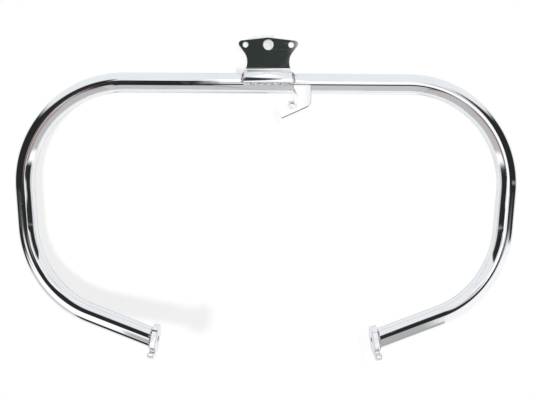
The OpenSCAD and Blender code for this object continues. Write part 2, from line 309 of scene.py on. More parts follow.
@dataclass(frozen=True)
class MetalFinish:
    """A bare or plated metal surface."""

    name: str
    colour: Colour
    shade: Colour
    roughness: tuple[float, float]
    haze_size: float = 40 * MM
    wave_size: float = 22 * MM
    wave_height: float = 0.012 * MM
    peel_size: float = 1.8 * MM
    peel_height: float = 0.0006 * MM
    scratch_size: float = 5 * MM

    def material(self, polish: bpy.types.NodeTree, painted_shade: Optional[PaintedShadeZone] = None) -> bpy.types.Material:
        """Make the material.

        Args:
            polish: The shared group of plating marks.
            painted_shade: Where the colour is darkened as painted shade.

        Returns:
            A metal whose haze and scratches change its colour and roughness, and whose waves bend what it
            mirrors.
        """
        made, graph = new_material(self.name)
        place = graph.place()
        sizes = {
            "Haze Size": self.haze_size, "Wave Size": self.wave_size, "Wave Height": self.wave_height,
            "Peel Size": self.peel_size, "Peel Height": self.peel_height, "Scratch Size": self.scratch_size,
        }
        marks = graph.node("ShaderNodeGroup", node_tree=polish)
        for label, value in {"Vector": place, **sizes}.items():
            graph.feed(marks.inputs[label], value)
        haze = marks.outputs["Haze"]
        # A haze tone; on the weld, its near-black shade paints dark reflection flecks.
        plating = graph.mix(haze, rgba(self.colour), rgba(self.shade))
        if painted_shade:
            # Painted shade: the zone's dark colour stands in for shade on an edge face or inside a hole.
            plating = graph.mix(painted_shade.mask(graph, place), plating, rgba(painted_shade.colour))
        worn = graph.math("MAXIMUM", graph.math("MULTIPLY", haze, HAZE_ROUGHENS), marks.outputs["Marks"])
        metal = {
            "Metallic": 1.0, "Base Color": plating, "Roughness": graph.ramp(worn, 0.0, 1.0, *self.roughness),
            "Normal": graph.out("ShaderNodeBump", {"Height": marks.outputs["Height"], "Distance": 1.0}),
        }
        graph.surface(graph.out("ShaderNodeBsdfPrincipled", metal))
        return made


TUBE_FINISH = MetalFinish("tube_chrome", (0.80, 0.81, 0.83), (0.77, 0.78, 0.80), (0.025, 0.10))
PLATE_FINISH = MetalFinish(
    "plate_chrome", (0.80, 0.81, 0.82), (0.74, 0.75, 0.77), (0.02, 0.05),
    wave_height=0.010 * MM, peel_height=0.0005 * MM,
)
# Painted reflection: the weld's near-black shade colour, laid out in small patches by the haze mask, paints
# the dark flecks that its ripples mirror.
WELD_FINISH = MetalFinish(
    "weld_chrome", (0.86, 0.86, 0.87), (0.12, 0.12, 0.12), (0.05, 0.16),
    haze_size=2.4 * MM, wave_size=2.4 * MM, wave_height=0.05 * MM, peel_size=0.8 * MM, scratch_size=2 * MM,
)
TAB_FINISH = MetalFinish(
    "tab_chrome", (0.84, 0.84, 0.85), (0.80, 0.80, 0.81), (0.04, 0.10),
    haze_size=20 * MM, wave_height=0.012 * MM, scratch_size=3 * MM,
)
INSERT_FINISH = MetalFinish(
    "insert_zinc", (0.84, 0.84, 0.84), (0.74, 0.74, 0.73), (0.16, 0.30),
    haze_size=4 * MM, wave_size=2 * MM, wave_height=0.008 * MM, peel_size=0.6 * MM, scratch_size=1.5 * MM,
)
LUG_FINISH = MetalFinish(
    "lug_chrome", (0.83, 0.83, 0.86), (0.74, 0.74, 0.78), (0.16, 0.30),
    haze_size=14 * MM, wave_size=9 * MM, wave_height=0.03 * MM, peel_size=1.2 * MM, scratch_size=3 * MM,
)
# Painted shade: a dark grey for the tab's lower edge face, which lies in shade.
PAINTED_EDGE_SHADE = grey(0.20)
SHADED_BORE = grey(0.22)


@dataclass
class Piece:
    """A finished mesh and what it stands for."""

    made: bpy.types.Object
    nodes: Sequence[str]
    slot: Slot
    body: Body = Body.ROOT

    def place(self) -> None:
        """Tie the piece to its body, hide the CAD nodes it stands for, and report it."""
        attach(self.made, self.body.value)
        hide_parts(*self.nodes)
        faces = len(self.made.data.polygons)
        log.info("%s stands for %s, with %d faces", self.made.name, ", ".join(self.nodes), faces)


def object_from(mesh: bpy.types.Mesh, name: str) -> bpy.types.Object:
    """Make an object of a mesh and link it to the scene.

    Args:
        mesh: The mesh, with its place in its own vertices.
        name: Name of the object and of its mesh.

    Returns:
        The new object at the origin.
    """
    mesh.name = name
    made = bpy.data.objects.new(name, mesh)
    bpy.context.scene.collection.objects.link(made)
    return made


def baked(source: bpy.types.Object) -> bpy.types.Object:
    """Turn an object and its modifiers into a plain mesh.

    Args:
        source: The object. Its modifiers are removed and its mesh is exchanged.

    Returns:
        The same object, with the evaluated mesh.
    """
    bpy.context.view_layer.update()
    graph = bpy.context.evaluated_depsgraph_get()
    ready = source.evaluated_get(graph)
    mesh = bpy.data.meshes.new_from_object(ready, preserve_all_data_layers=True, depsgraph=graph)
    source.modifiers.clear()
    old = source.data
    source.data = mesh
    bpy.data.meshes.remove(old)
    mesh.name = source.name
    return source


def chain_mesh(name: str, points: Sequence[Vector], closed: bool = False) -> bpy.types.Mesh:
    """Make a mesh of edges that run through points in their order.

    Args:
        name: Name of the mesh.
        points: The points.
        closed: Whether the last point is joined to the first.

    Returns:
        The mesh, with no faces.
    """
    mesh = bpy.data.meshes.new(name)
    edges = [(i, i + 1) for i in range(len(points) - 1)]
    if closed:
        edges.append((len(points) - 1, 0))
    mesh.from_pydata([tuple(p) for p in points], edges, [])
    return mesh


class GeometryTree:
    """A Geometry Nodes tree with named inputs, which ends in Realize Instances and Set Material."""

    KINDS = {
        float: "NodeSocketFloat", int: "NodeSocketInt", bool: "NodeSocketBool",
        bpy.types.Material: "NodeSocketMaterial",
    }

    def __init__(self, name: str, inputs: dict[str, type]) -> None:
        """Make the tree with its sockets.

        Args:
            name: Name of the tree.
            inputs: Types of its inputs by name. Geometry comes first and Material comes last by itself.
        """
        tree = bpy.data.node_groups.new(name, "GeometryNodeTree")
        tree.interface.new_socket("Geometry", in_out="INPUT", socket_type="NodeSocketGeometry")
        for label, kind in {**inputs, "Material": bpy.types.Material}.items():
            tree.interface.new_socket(label, in_out="INPUT", socket_type=self.KINDS[kind])
        tree.interface.new_socket("Geometry", in_out="OUTPUT", socket_type="NodeSocketGeometry")
        self.graph = Graph(tree)
        self.given = self.graph.node("NodeGroupInput").outputs

    def curve(self) -> Socket:
        """Return the curve of the chain that the tree is given."""
        return self.graph.out("GeometryNodeMeshToCurve", {"Mesh": self.given["Geometry"]})

    def section(self) -> Socket:
        """Return a round section of the given radius and number of sides."""
        sizes = {"Resolution": self.given["Sides"], "Radius": self.given["Radius"]}
        return self.graph.out("GeometryNodeCurvePrimitiveCircle", sizes, "Curve")

    def kept(self, name: str, geometry: Socket, value: Socket) -> tuple[Socket, Socket]:
        """Capture a value on a geometry.

        Args:
            name: Name of the value.
            geometry: What it is captured on.
            value: The value.

        Returns:
            The geometry and the captured value.
        """
        capture = self.graph.node("GeometryNodeCaptureAttribute")
        capture.capture_items.new("FLOAT", name)
        self.graph.feed(capture.inputs["Geometry"], geometry)
        self.graph.feed(capture.inputs[1], value)
        return capture.outputs[0], capture.outputs[1]

    def end(self, geometry: Socket) -> None:
        """Shade what the tree has made smoothly, realize it and give it its material."""
        smooth = self.graph.out("GeometryNodeSetShadeSmooth", {"Geometry": geometry})
        real = self.graph.out("GeometryNodeRealizeInstances", {"Geometry": smooth})
        coat = {"Geometry": real, "Material": self.given["Material"]}
        self.graph.node("NodeGroupOutput", {0: self.graph.out("GeometryNodeSetMaterial", coat)})

    def apply(self, made: bpy.types.Object, values: dict[str, Any]) -> None:
        """Add the tree to an object as a modifier.

        Args:
            made: The object.
            values: The inputs' values by name.
        """
        modifier = made.modifiers.new(self.graph.tree.name, "NODES")
        modifier.node_group = self.graph.tree
        for item in self.graph.tree.interface.items_tree:
            if item.in_out == "INPUT" and item.name in values:
                modifier[item.identifier] = values[item.name]


def make_sweep_tree() -> GeometryTree:
    """Make the tree that sweeps a round section along a chain of points.

    Returns:
        The tree, with inputs Radius, Sides and Material.
    """
    tree = GeometryTree("tube_sweep", {"Radius": float, "Sides": int})
    swept = {"Curve": tree.curve(), "Profile Curve": tree.section()}
    tree.end(tree.graph.out("GeometryNodeCurveToMesh", swept))
    return tree


OUTWARD = "outward"
RINGS_PER_RIPPLE = 9.0
# Size of a bead's very end, as a share of its radius
BEAD_TIP = 0.12
# Part of a ripple's height that lies inside the bead's own radius
RIPPLE_SUNK = 0.6
# Scale of the noise that makes a bead uneven, in features for each ripple
UNEVEN_SCALE = 0.6


def make_bead_tree() -> GeometryTree:
    """Make the tree of a rippled weld bead along a chain of points.

    Each ripple bows along the bead like the edge of a coin, and the valleys between ripples are sharp.

    Returns:
        The tree, with inputs Radius, Pitch, Depth, Bow, Uneven, Sides, Seed, Closed and Material.
    """
    inputs = {
        "Radius": float, "Pitch": float, "Depth": float, "Bow": float, "Uneven": float,
        "Sides": int, "Seed": int, "Closed": bool,
    }
    tree = GeometryTree("weld_ripples", inputs)
    graph, given = tree.graph, tree.given
    spacing = graph.math("DIVIDE", given["Pitch"], RINGS_PER_RIPPLE)
    spaced = graph.out("GeometryNodeResampleCurve", {"Curve": tree.curve(), "Length": spacing}, mode="LENGTH")
    outward = graph.out("GeometryNodeInputNamedAttribute", {"Name": OUTWARD}, data_type="FLOAT_VECTOR")
    facing = graph.out("GeometryNodeSetCurveNormal", {"Curve": spaced, "Normal": outward}, mode="FREE")
    along = graph.out("GeometryNodeSplineParameter", output="Length")
    path, reached = tree.kept("Length", facing, along)
    section, turn = tree.kept(
        "Turn", tree.section(), graph.out("GeometryNodeSplineParameter", output="Factor")
    )

    whole = graph.out("GeometryNodeSplineLength", output="Length")
    to_end = graph.math("MINIMUM", along, graph.math("SUBTRACT", whole, along))
    near = graph.math("DIVIDE", to_end, given["Radius"], clamp=True)
    short = graph.math("POWER", graph.math("SUBTRACT", 1.0, near), 2.0)
    rounding = graph.math("SQRT", graph.math("SUBTRACT", 1.0, short))
    taper = graph.math("MAXIMUM", graph.math("MAXIMUM", rounding, BEAD_TIP), given["Closed"])
    sweep = {"Curve": path, "Profile Curve": section, "Scale": taper, "Fill Caps": True}
    swept = graph.out("GeometryNodeCurveToMesh", sweep)

    # The turn is 0 on the outward side of the bead and 0.5 opposite. The bow grows with its square, and is
    # full at a quarter turn to either side.
    from_out = graph.math("MULTIPLY", graph.math("PINGPONG", turn, 0.5), 4.0)
    bow = graph.math("MULTIPLY", graph.math("POWER", from_out, 2.0), given["Bow"])
    noise = {"W": given["Seed"], "Scale": graph.math("DIVIDE", UNEVEN_SCALE, given["Pitch"])}
    wobble = graph.out("ShaderNodeTexNoise", noise, "Fac", noise_dimensions="4D")
    offbeat = graph.math("MULTIPLY", graph.math("SUBTRACT", wobble, 0.5), given["Uneven"])
    step = graph.math("ADD", graph.math("DIVIDE", reached, given["Pitch"]), bow)
    phase = graph.math("MULTIPLY", graph.math("ADD", step, offbeat), math.pi)
    crest = graph.math("SUBTRACT", graph.math("ABSOLUTE", graph.math("SINE", phase)), RIPPLE_SUNK)
    height = graph.math("MULTIPLY", given["Radius"], given["Depth"])
    swell = graph.math("MULTIPLY", graph.math("ADD", crest, offbeat), height)
    normal = graph.out("GeometryNodeInputNormal", output="Normal")
    push = graph.out("ShaderNodeVectorMath", {0: normal, "Scale": swell}, operation="SCALE")
    tree.end(graph.out("GeometryNodeSetPosition", {"Geometry": swept, "Offset": push}))
    return tree


@dataclass(frozen=True)
class EdgeBreak:
    """The small rounding of a plate's edges, under the chrome."""

    width: float
    segments: int = 3
    sharpest: float = math.radians(28)
    merge: float = 0.002 * MM
    flat_within: float = math.radians(0.15)
    flat_weight: int = 100

    def copy_of(self, node: str, name: str, material: bpy.types.Material) -> bpy.types.Object:
        """Copy a CAD node, merge its loose triangles and round its edges.

        Args:
            node: Name of the CAD node.
            name: Name of the new piece.
            material: What it is made of.

        Returns:
            The finished object at the origin.
        """
        work = bmesh.new()
        work.from_mesh(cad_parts[node].data)
        bmesh.ops.remove_doubles(work, verts=work.verts, dist=self.merge)
        bmesh.ops.dissolve_limit(work, angle_limit=self.flat_within, verts=work.verts, edges=work.edges)
        for face in work.faces:
            face.smooth = True
        mesh = bpy.data.meshes.new(name)
        work.to_mesh(mesh)
        work.free()
        made = object_from(mesh, name)
        made.data.materials.append(material)
        bevel = made.modifiers.new("edge_break", "BEVEL")
        bevel.limit_method = "ANGLE"
        bevel.angle_limit = self.sharpest
        bevel.width = self.width
        bevel.segments = self.segments
        bevel.use_clamp_overlap = True
        even = made.modifiers.new("even_faces", "WEIGHTED_NORMAL")
        even.keep_sharp = True
        even.weight = self.flat_weight
        return baked(made)


@dataclass
class TubePath:
    """The centre line of the bent tube. Lengths are in metres and angles in degrees."""

    middle: Vector
    bend_radius: float = 158 * MM
    top_half: float = 227.5 * MM
    upper_bend: float = 94.7
    side_length: float = 60 * MM
    lower_bend: float = 66.7
    arm_sweep: float = 17
    arm_length: float = 111 * MM
    step: float = 1.5
    lead_in: float = 2 * MM

    def turned(self, angle: float) -> Matrix:
        """Return the move through a bend of an angle, from its start along +Z towards +X."""
        turn = math.radians(angle)
        shift = Vector((self.bend_radius * (1 - math.cos(turn)), 0, self.bend_radius * math.sin(turn)))
        return Matrix.Translation(shift) @ Matrix.Rotation(turn, 4, "Y")

    def top_middle(self) -> Matrix:
        """Return the place of the top's middle, whose Z runs to the right and whose X points down."""
        return Matrix(((0, 0, 1, 0), (0, 1, 0, 0), (-1, 0, 0, 0), (0, 0, 0, 1)))

    def straight(self, start: Matrix, length: float, to_bend: bool = True) -> tuple[list[Vector], Matrix]:
        """Lay a straight.

        Args:
            start: Place of its start.
            length: Its length.
            to_bend: Whether a bend follows. The last ring before it then lies close to it, so that the bend
                doesn't tilt the whole straight's shading.

        Returns:
            Its points, without its start, and the place of its end.
        """
        spots = [self.lead_in, length / 2, length]
        if to_bend:
            spots.insert(2, length - self.lead_in)
        points = [(start @ Matrix.Translation((0, 0, spot))).translation for spot in spots]
        return points, start @ Matrix.Translation((0, 0, length))

    def bend(self, start: Matrix, angle: float) -> tuple[list[Vector], Matrix]:
        """Lay a bend.

        Args:
            start: Place of its start.
            angle: Its angle.

        Returns:
            Its points, without its start, and the place of its end.
        """
        count = round(angle / self.step)
        places = [start @ self.turned(angle * i / count) for i in range(1, count + 1)]
        return [place.translation for place in places], places[-1]

    def half(self) -> tuple[list[Vector], Matrix]:
        """Lay the right half from the top's middle to the arm's end.

        Returns:
            Its points about the tube's middle, and the place of the arm's end.
        """
        points, place = self.straight(self.top_middle(), self.top_half)
        more, place = self.bend(place, self.upper_bend)
        points += more
        more, place = self.straight(place, self.side_length)
        points += more
        place = place @ Matrix.Rotation(math.radians(-self.arm_sweep), 4, "Z")
        more, place = self.bend(place, self.lower_bend)
        points += more
        more, place = self.straight(place, self.arm_length, to_bend=False)
        return points + more, place

    def arm_end(self) -> Matrix:
        """Return the place of the right arm's end about the tube's middle, whose Z runs along the arm."""
        return self.half()[1]

    def points(self) -> list[Vector]:
        """Return the whole centre line, from the left arm's end to the right arm's."""
        right, _ = self.half()
        left = [Vector((-p.x, p.y, p.z)) for p in reversed(right)]
        return [self.middle + p for p in left + right]


@dataclass
class LugPlane:
    """The back face of a lug, against which the tube's end is cut. Angles are in degrees."""

    path: TubePath
    lean: float = 8.5
    toe: float = 7.5

    def normal(self) -> Vector:
        """Return the way out of the right lug's free face, towards the middle of the arch."""
        axes = Matrix(((0, 0, -1, 0), (-1, 0, 0, 0), (0, 1, 0, 0), (0, 0, 0, 1)))
        lean = Matrix.Rotation(math.radians(-self.lean), 4, "Y")
        toe = Matrix.Rotation(math.radians(self.toe), 4, "Z")
        return (lean @ toe @ axes).col[2].to_3d()

    def slide(self, point: Vector) -> Vector:
        """Slide a point of the right arm along the arm onto the lug's back face.

        Args:
            point: The point, about the tube's middle.

        Returns:
            The point on the face.
        """
        end = self.path.arm_end()
        along = end.col[2].to_3d()
        gap = (point - end.translation).dot(self.normal())
        return point - along * (gap / along.dot(self.normal()))


@dataclass
class BentTube:
    """The chromed tube, one piece from lug to lug."""

    path: TubePath
    lug_plane: LugPlane
    diameter: float = 31.75 * MM
    wall: float = 2.5 * MM
    sides: int = 96
    sharpest: float = math.radians(35)
    end_margin: float = 0.05 * MM

    def build(self, sweep: GeometryTree, material: bpy.types.Material) -> bpy.types.Object:
        """Sweep the tube, cut its ends to the lugs and give it its wall.

        Args:
            sweep: The tree that sweeps a round section.
            material: What the tube is made of.

        Returns:
            The tube.
        """
        made = object_from(chain_mesh("tube", self.path.points()), "tube")
        sweep.apply(made, {"Radius": self.diameter / 2, "Sides": self.sides, "Material": material})
        baked(made)
        self.cut_ends(made.data)
        wall = made.modifiers.new("wall", "SOLIDIFY")
        wall.thickness = self.wall
        wall.offset = -1
        wall.use_even_offset = True
        baked(made)
        made.data.set_sharp_from_angle(angle=self.sharpest)
        return made

    def cut_ends(self, mesh: bpy.types.Mesh) -> None:
        """Slide the last ring at each end onto the back face of its lug.

        Args:
            mesh: The swept mesh.
        """
        middle = self.path.middle
        end = self.path.arm_end().translation
        reach = self.diameter / 2 + self.end_margin
        for vertex in mesh.vertices:
            flip = Vector((math.copysign(1, vertex.co.x - middle.x), 1, 1))
            about = (vertex.co - middle) * flip
            if (about - end).length < reach:
                vertex.co = middle + self.lug_plane.slide(about) * flip


@dataclass
class Bead:
    """One weld bead along a path. The outward directions point away from the joint."""

    name: str
    node: str
    points: list[Vector]
    outward: list[Vector]
    radius: float
    seed: int
    closed: bool = False
    pitch: float = 3 * MM
    depth: float = 0.34
    bow: float = 0.35
    uneven: float = 0.35
    sides: int = 18

    def length(self) -> float:
        """Return the length of the path."""
        after = self.points[1:] + (self.points[:1] if self.closed else [])
        return sum((b - a).length for a, b in zip(self.points, after))

    def build(self, ripples: GeometryTree, material: bpy.types.Material) -> bpy.types.Object:
        """Make the bead.

        Args:
            ripples: The tree of a rippled bead.
            material: What the bead is made of.

        Returns:
            The bead as a closed mesh.
        """
        mesh = chain_mesh(self.name, self.points, self.closed)
        attribute = mesh.attributes.new(OUTWARD, "FLOAT_VECTOR", "POINT")
        for item, direction in zip(attribute.data, self.outward):
            item.vector = direction
        made = object_from(mesh, self.name)
        length = self.length()
        values = {
            "Radius": self.radius, "Pitch": length / max(2, round(length / self.pitch)), "Depth": self.depth,
            "Bow": self.bow, "Uneven": self.uneven, "Sides": self.sides, "Seed": self.seed,
            "Closed": self.closed, "Material": material,
        }
        ripples.apply(made, values)
        return baked(made)


@dataclass
class Welds:
    """Every weld bead of the fabrication. Lengths are in metres and angles in degrees."""

    tube: BentTube
    saddle_half: float = 40.5 * MM
    waist_half: float = 32 * MM
    waist_drop: float = 21.8 * MM
    plate_rise: float = 62.2 * MM
    plate_bend: float = 4 * MM
    tab_right: float = 68.6 * MM
    tab_width: float = 29.5 * MM
    tab_drop: float = 4.8 * MM
    tab_lean: float = 15
    tab_slope: float = 25.2
    tab_round: float = 2 * MM
    seam_gap: float = 0.05 * MM
    saddle_radius: float = 3.7 * MM
    end_climb: float = 78
    rear_radius: float = 3.2 * MM
    # Height of the rear bead's middle above the tube, in its own radii
    rear_lift: float = 0.25
    tab_radius: float = 2.6 * MM
    # Start of the bead along the tab's top past the plate's edge, in radii of the plate's own bead
    tab_start: float = 1.5
    # Depth to which the tab's side bead sinks on its way down, in its own radii
    tab_sink: float = 0.4
    lug_radius: float = 2.2 * MM
    step: float = 1 * MM

    def seat(self) -> Vector:
        """Return the point of the tube's centre line in the middle of the plate."""
        return Vector((0, self.tube.path.middle.y, self.tube.path.middle.z))

    def skin(self) -> float:
        """Return the radius of the tube's skin with its clearance."""
        return self.tube.diameter / 2 + self.seam_gap

    def flare(self, height: float) -> float:
        """Return half the plate's width at a height above the tube's centre line."""
        rise = self.plate_rise - self.waist_drop
        return self.saddle_half + (self.waist_half - self.saddle_half) * height / rise

    def straight(
        self, name: str, start: Vector, end: Vector, outward: Vector, radius: float, seed: int
    ) -> Bead:
        """Return a bead along a straight line.

        Args:
            name: Name of the bead, to which _bead and _weld are added for the piece and the CAD node.
            start: The line's start.
            end: The line's end.
            outward: The way away from the joint.
            radius: The bead's radius.
            seed: Seed of its unevenness.

        Returns:
            The bead, with points about one step apart.
        """
        count = max(2, math.ceil((end - start).length / self.step))
        points = [start.lerp(end, i / count) for i in range(count + 1)]
        return Bead(f"{name}_bead", f"{name}_weld", points, [outward] * len(points), radius, seed)

    def along_front(self) -> Bead:
        """Return the bead under the plate's rolled edge."""
        start = self.seat() + Vector((-self.saddle_half, -self.skin(), 0))
        end = start + Vector((2 * self.saddle_half, 0, 0))
        return self.straight("saddle_front", start, end, Vector((0, -1, -1)), self.saddle_radius, seed=3)

    def along_end(self, side: Side) -> Bead:
        """Return the bead that climbs the tube at one end of the rolled edge.

        Args:
            side: The end.

        Returns:
            The bead.
        """
        name = f"saddle_{side.name.lower()}"
        seat, skin = self.seat(), self.skin()
        count = math.ceil(skin * math.radians(self.end_climb) / self.step)
        points, outward = [], []
        for i in range(count + 1):
            turn = math.radians(self.end_climb) * i / count
            height = skin * math.sin(turn)
            points.append(seat + Vector((side.value * self.flare(height), -skin * math.cos(turn), height)))
            outward.append(Vector((side.value, -math.cos(turn), math.sin(turn))))
        return Bead(f"{name}_bead", f"{name}_weld", points, outward, self.saddle_radius, seed=5 + side.value)

    def behind_plate(self) -> Bead:
        """Return the bead behind the plate, where it leaves the tube."""
        rise = self.tube.diameter / 2 + self.rear_radius * self.rear_lift
        half = self.flare(rise) - self.rear_radius
        start = self.seat() + Vector((-half, self.plate_bend + self.rear_radius, rise))
        end = start + Vector((2 * half, 0, 0))
        return self.straight("saddle_rear", start, end, Vector((0, 1, 1)), self.rear_radius, seed=11)

    def tab_place(self) -> Matrix:
        """Return the tab's frame: X to the right, Y up its face and Z to the front, from its top edge."""
        back = -math.sqrt(self.skin() ** 2 - self.tab_drop ** 2)
        start = self.seat() + Vector((0, back, -self.tab_drop))
        return Matrix.Translation(start) @ Matrix.Rotation(math.radians(90 - self.tab_lean), 4, "X")

    def tab_down(self) -> Vector:
        """Return the way down the tab's left side, in the tab's frame."""
        slope = math.radians(self.tab_slope)
        return Vector((math.sin(slope), -math.cos(slope), 0))

    def along_tab_top(self) -> Bead:
        """Return the bead along the tab's top edge."""
        place = self.tab_place().translation
        left = place + Vector((self.saddle_half + self.tab_start * self.saddle_radius, 0, 0))
        right = place + Vector((self.tab_right - self.tab_round, 0, 0))
        return self.straight("tab_top", left, right, Vector((0, -1, 0.3)), self.tab_radius, seed=17)

    def along_tab_side(self) -> Bead:
        """Return the bead down the tab's left side."""
        place, down = self.tab_place(), self.tab_down()
        top = Vector((self.tab_right - self.tab_width, 0, 0)) + down * self.tab_round
        length = self.tube.diameter / 2 - self.tab_drop
        foot = top + down * length - Vector((0, 0, self.tab_sink * self.tab_radius))
        outward = place.to_3x3() @ Vector((-1, 0, 0.5))
        return self.straight("tab_side", place @ top, place @ foot, outward, self.tab_radius, seed=23)

    def round_arm(self, side: Side) -> Bead:
        """Return the bead round the tube at one lug.

        Args:
            side: The arm.

        Returns:
            The closed bead.
        """
        path, plane = self.tube.path, self.tube.lug_plane
        end = path.arm_end()
        across, up = end.col[0].to_3d(), end.col[1].to_3d()
        radius = self.tube.diameter / 2
        count = round(2 * math.pi * radius / self.step)
        flip = Vector((side.value, 1, 1))
        points, outward = [], []
        for i in range(count):
            turn = 2 * math.pi * i / count
            reach = across * math.cos(turn) + up * math.sin(turn)
            points.append(path.middle + plane.slide(end.translation + radius * reach) * flip)
            outward.append((reach - end.col[2].to_3d()) * flip)
        name = f"{side.name.lower()}_lug"
        seed = 31 + side.value
        return Bead(f"{name}_bead", f"{name}_weld", points, outward, self.lug_radius, seed, closed=True)

    def all(self) -> list[Bead]:
        """Return every bead."""
        return [
            self.along_front(), self.along_end(Side.LEFT), self.along_end(Side.RIGHT), self.behind_plate(),
            self.along_tab_top(), self.along_tab_side(),
            self.round_arm(Side.LEFT), self.round_arm(Side.RIGHT),
        ]


@dataclass(frozen=True)
class Panel:
    """A part of the studio's surroundings, as a box of directions seen from the object.

    Azimuth is 0 towards the camera and grows to the right, elevation is above the horizon, in degrees.
    """

    name: str
    left: float
    right: float
    low: float
    high: float
    radiance: Colour
    soft: float = 1.0
    soft_up: float = 1.0


@dataclass(frozen=True)
class Rim:
    """What of a panel lies more than an angle away from a direction, in degrees.

    An arm, being straight, mirrors no more than the edge of it.
    """

    panel: Panel
    azimuth: float
    elevation: float
    beyond: float

    def centre(self) -> Vector:
        """Return the direction."""
        around = Matrix.Rotation(math.radians(self.azimuth), 3, "Z")
        return around @ Matrix.Rotation(math.radians(-self.elevation), 3, "X") @ Vector((0, -1, 0))


@dataclass(frozen=True)
class Patch:
    """A part of the card between the two halves of the arch, in metres.

    It reaches from near to far in front of the object and from low to high. The high edge rises with the
    distance in front. One that belongs to a half is mirrored by that half alone.
    """

    name: str
    near: float
    far: float
    low: float
    high: float
    radiance: Colour
    rise: float = 0.0
    soft: float = 0.03
    soft_up: float = 0.01
    half: Optional[Side] = None


@dataclass(frozen=True)
class Flag:
    """A small upright card near the object, which only mirrors that face it see.

    Its corners are places across and up. The colour changes at the height of the turn. It is clear to rays
    that meet it with more than the slant. Lengths are in metres.
    """

    name: str
    y: float
    corners: tuple[tuple[float, float], ...]
    upper: Colour
    lower: Colour
    turn: float
    soft: float
    slant: float
    slant_soft: float = 0.04


@dataclass(frozen=True)
class Lamp:
    """A distant lamp: the direction to it, the level to which it lights a white backdrop, and its angle."""

    name: str
    towards: Place
    level: float
    spread: float

    def build(self) -> bpy.types.Object:
        """Make the lamp, which mirrors don't see."""
        towards = Vector(self.towards)
        lamp = bpy.data.lights.new(self.name, "SUN")
        lamp.energy = self.level * math.pi / (-towards.normalized().y)
        lamp.angle = math.radians(self.spread)
        made = bpy.data.objects.new(self.name, lamp)
        made.rotation_mode = "QUATERNION"
        made.rotation_quaternion = towards.to_track_quat("Z", "Y")
        made.visible_glossy = False
        bpy.context.scene.collection.objects.link(made)
        return made


BLACK_CLOTH: Colour = (0.026, 0.027, 0.026)
BROWN_CLOTH: Colour = (0.055, 0.035, 0.032)
PINK_WALL: Colour = (0.55, 0.38, 0.37)
NAVY_CLOTH: Colour = (0.05, 0.065, 0.11)
GREEN_CLOTH: Colour = (0.040, 0.050, 0.046)
PALE_WALL: Colour = (1.00, 1.03, 1.04)


